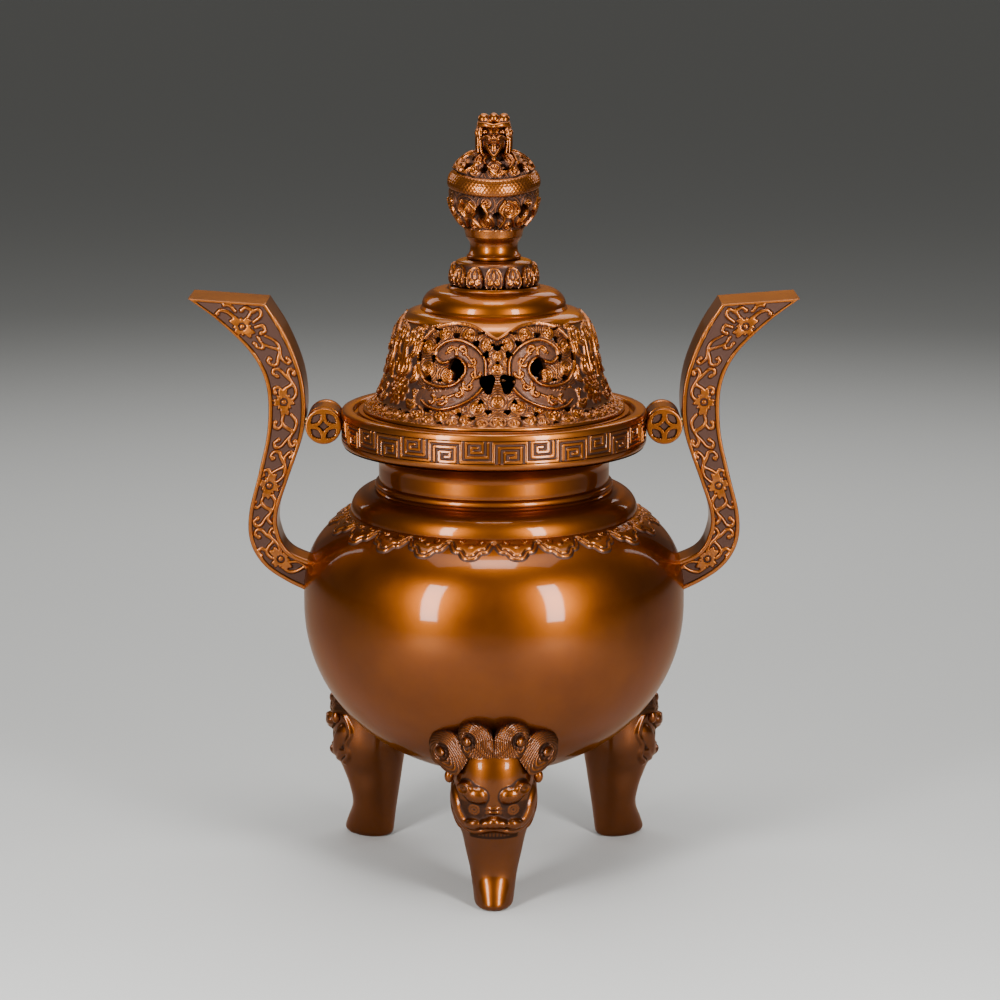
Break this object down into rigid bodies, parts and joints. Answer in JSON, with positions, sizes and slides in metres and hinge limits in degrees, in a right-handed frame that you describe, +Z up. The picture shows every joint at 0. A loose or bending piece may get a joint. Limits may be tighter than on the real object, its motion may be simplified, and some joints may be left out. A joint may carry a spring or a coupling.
{
  "type": "incense burner",
  "caption": "Round-bellied tripod incense burner with S-shaped loop handles and a lift-off openwork lid topped by a pierced bead and a beast head.",
  "frame": {"origin": "on the floor, under the centre of the bowl, midway between the three feet", "axes": "+Z up; -Y towards the front foot; +X towards the right handle"},
  "size_m": [0.3916, 0.2504, 0.4964],
  "materials": {
    "polished_bronze": "polished golden-brown patinated bronze",
    "carved_bronze": "carved bronze with dark patina in its recesses",
    "plain_brass": "plain turned brass fastener"
  },
  "bodies": {
    "burner": {"belly": "polished_bronze", "neck": "polished_bronze", "mouth_rim": "carved_bronze", "leg_front": "carved_bronze", "leg_rear_left": "carved_bronze", "leg_rear_right": "carved_bronze", "bolt_leg_front": "plain_brass", "bolt_leg_rear_left": "plain_brass", "bolt_leg_rear_right": "plain_brass", "washer_leg_front": "plain_brass", "washer_leg_rear_left": "plain_brass", "washer_leg_rear_right": "plain_brass", "handle_left": "carved_bronze", "handle_right": "carved_bronze", "coin_left": "carved_bronze", "coin_right": "carved_bronze", "rim_stud_left": "plain_brass", "rim_stud_right": "plain_brass", "bolt_handle_left": "plain_brass", "bolt_handle_right": "plain_brass", "washer_handle_left": "plain_brass", "washer_handle_right": "plain_brass"},
    "lid": {"lid_flange": "polished_bronze", "lid_dome": "carved_bronze", "lid_crown": "polished_bronze", "lotus_collar": "carved_bronze", "knob_stem": "polished_bronze", "knob_washer": "plain_brass", "knob_nut": "plain_brass", "dragon_bead": "carved_bronze", "dragon_head": "carved_bronze"}
  },
  "joints": [
    {"name": "lid_lift", "type": "slide", "parent": "burner", "child": "lid", "axis": [0, 0, 1], "range_m": [0, 0.15]}
  ]
}
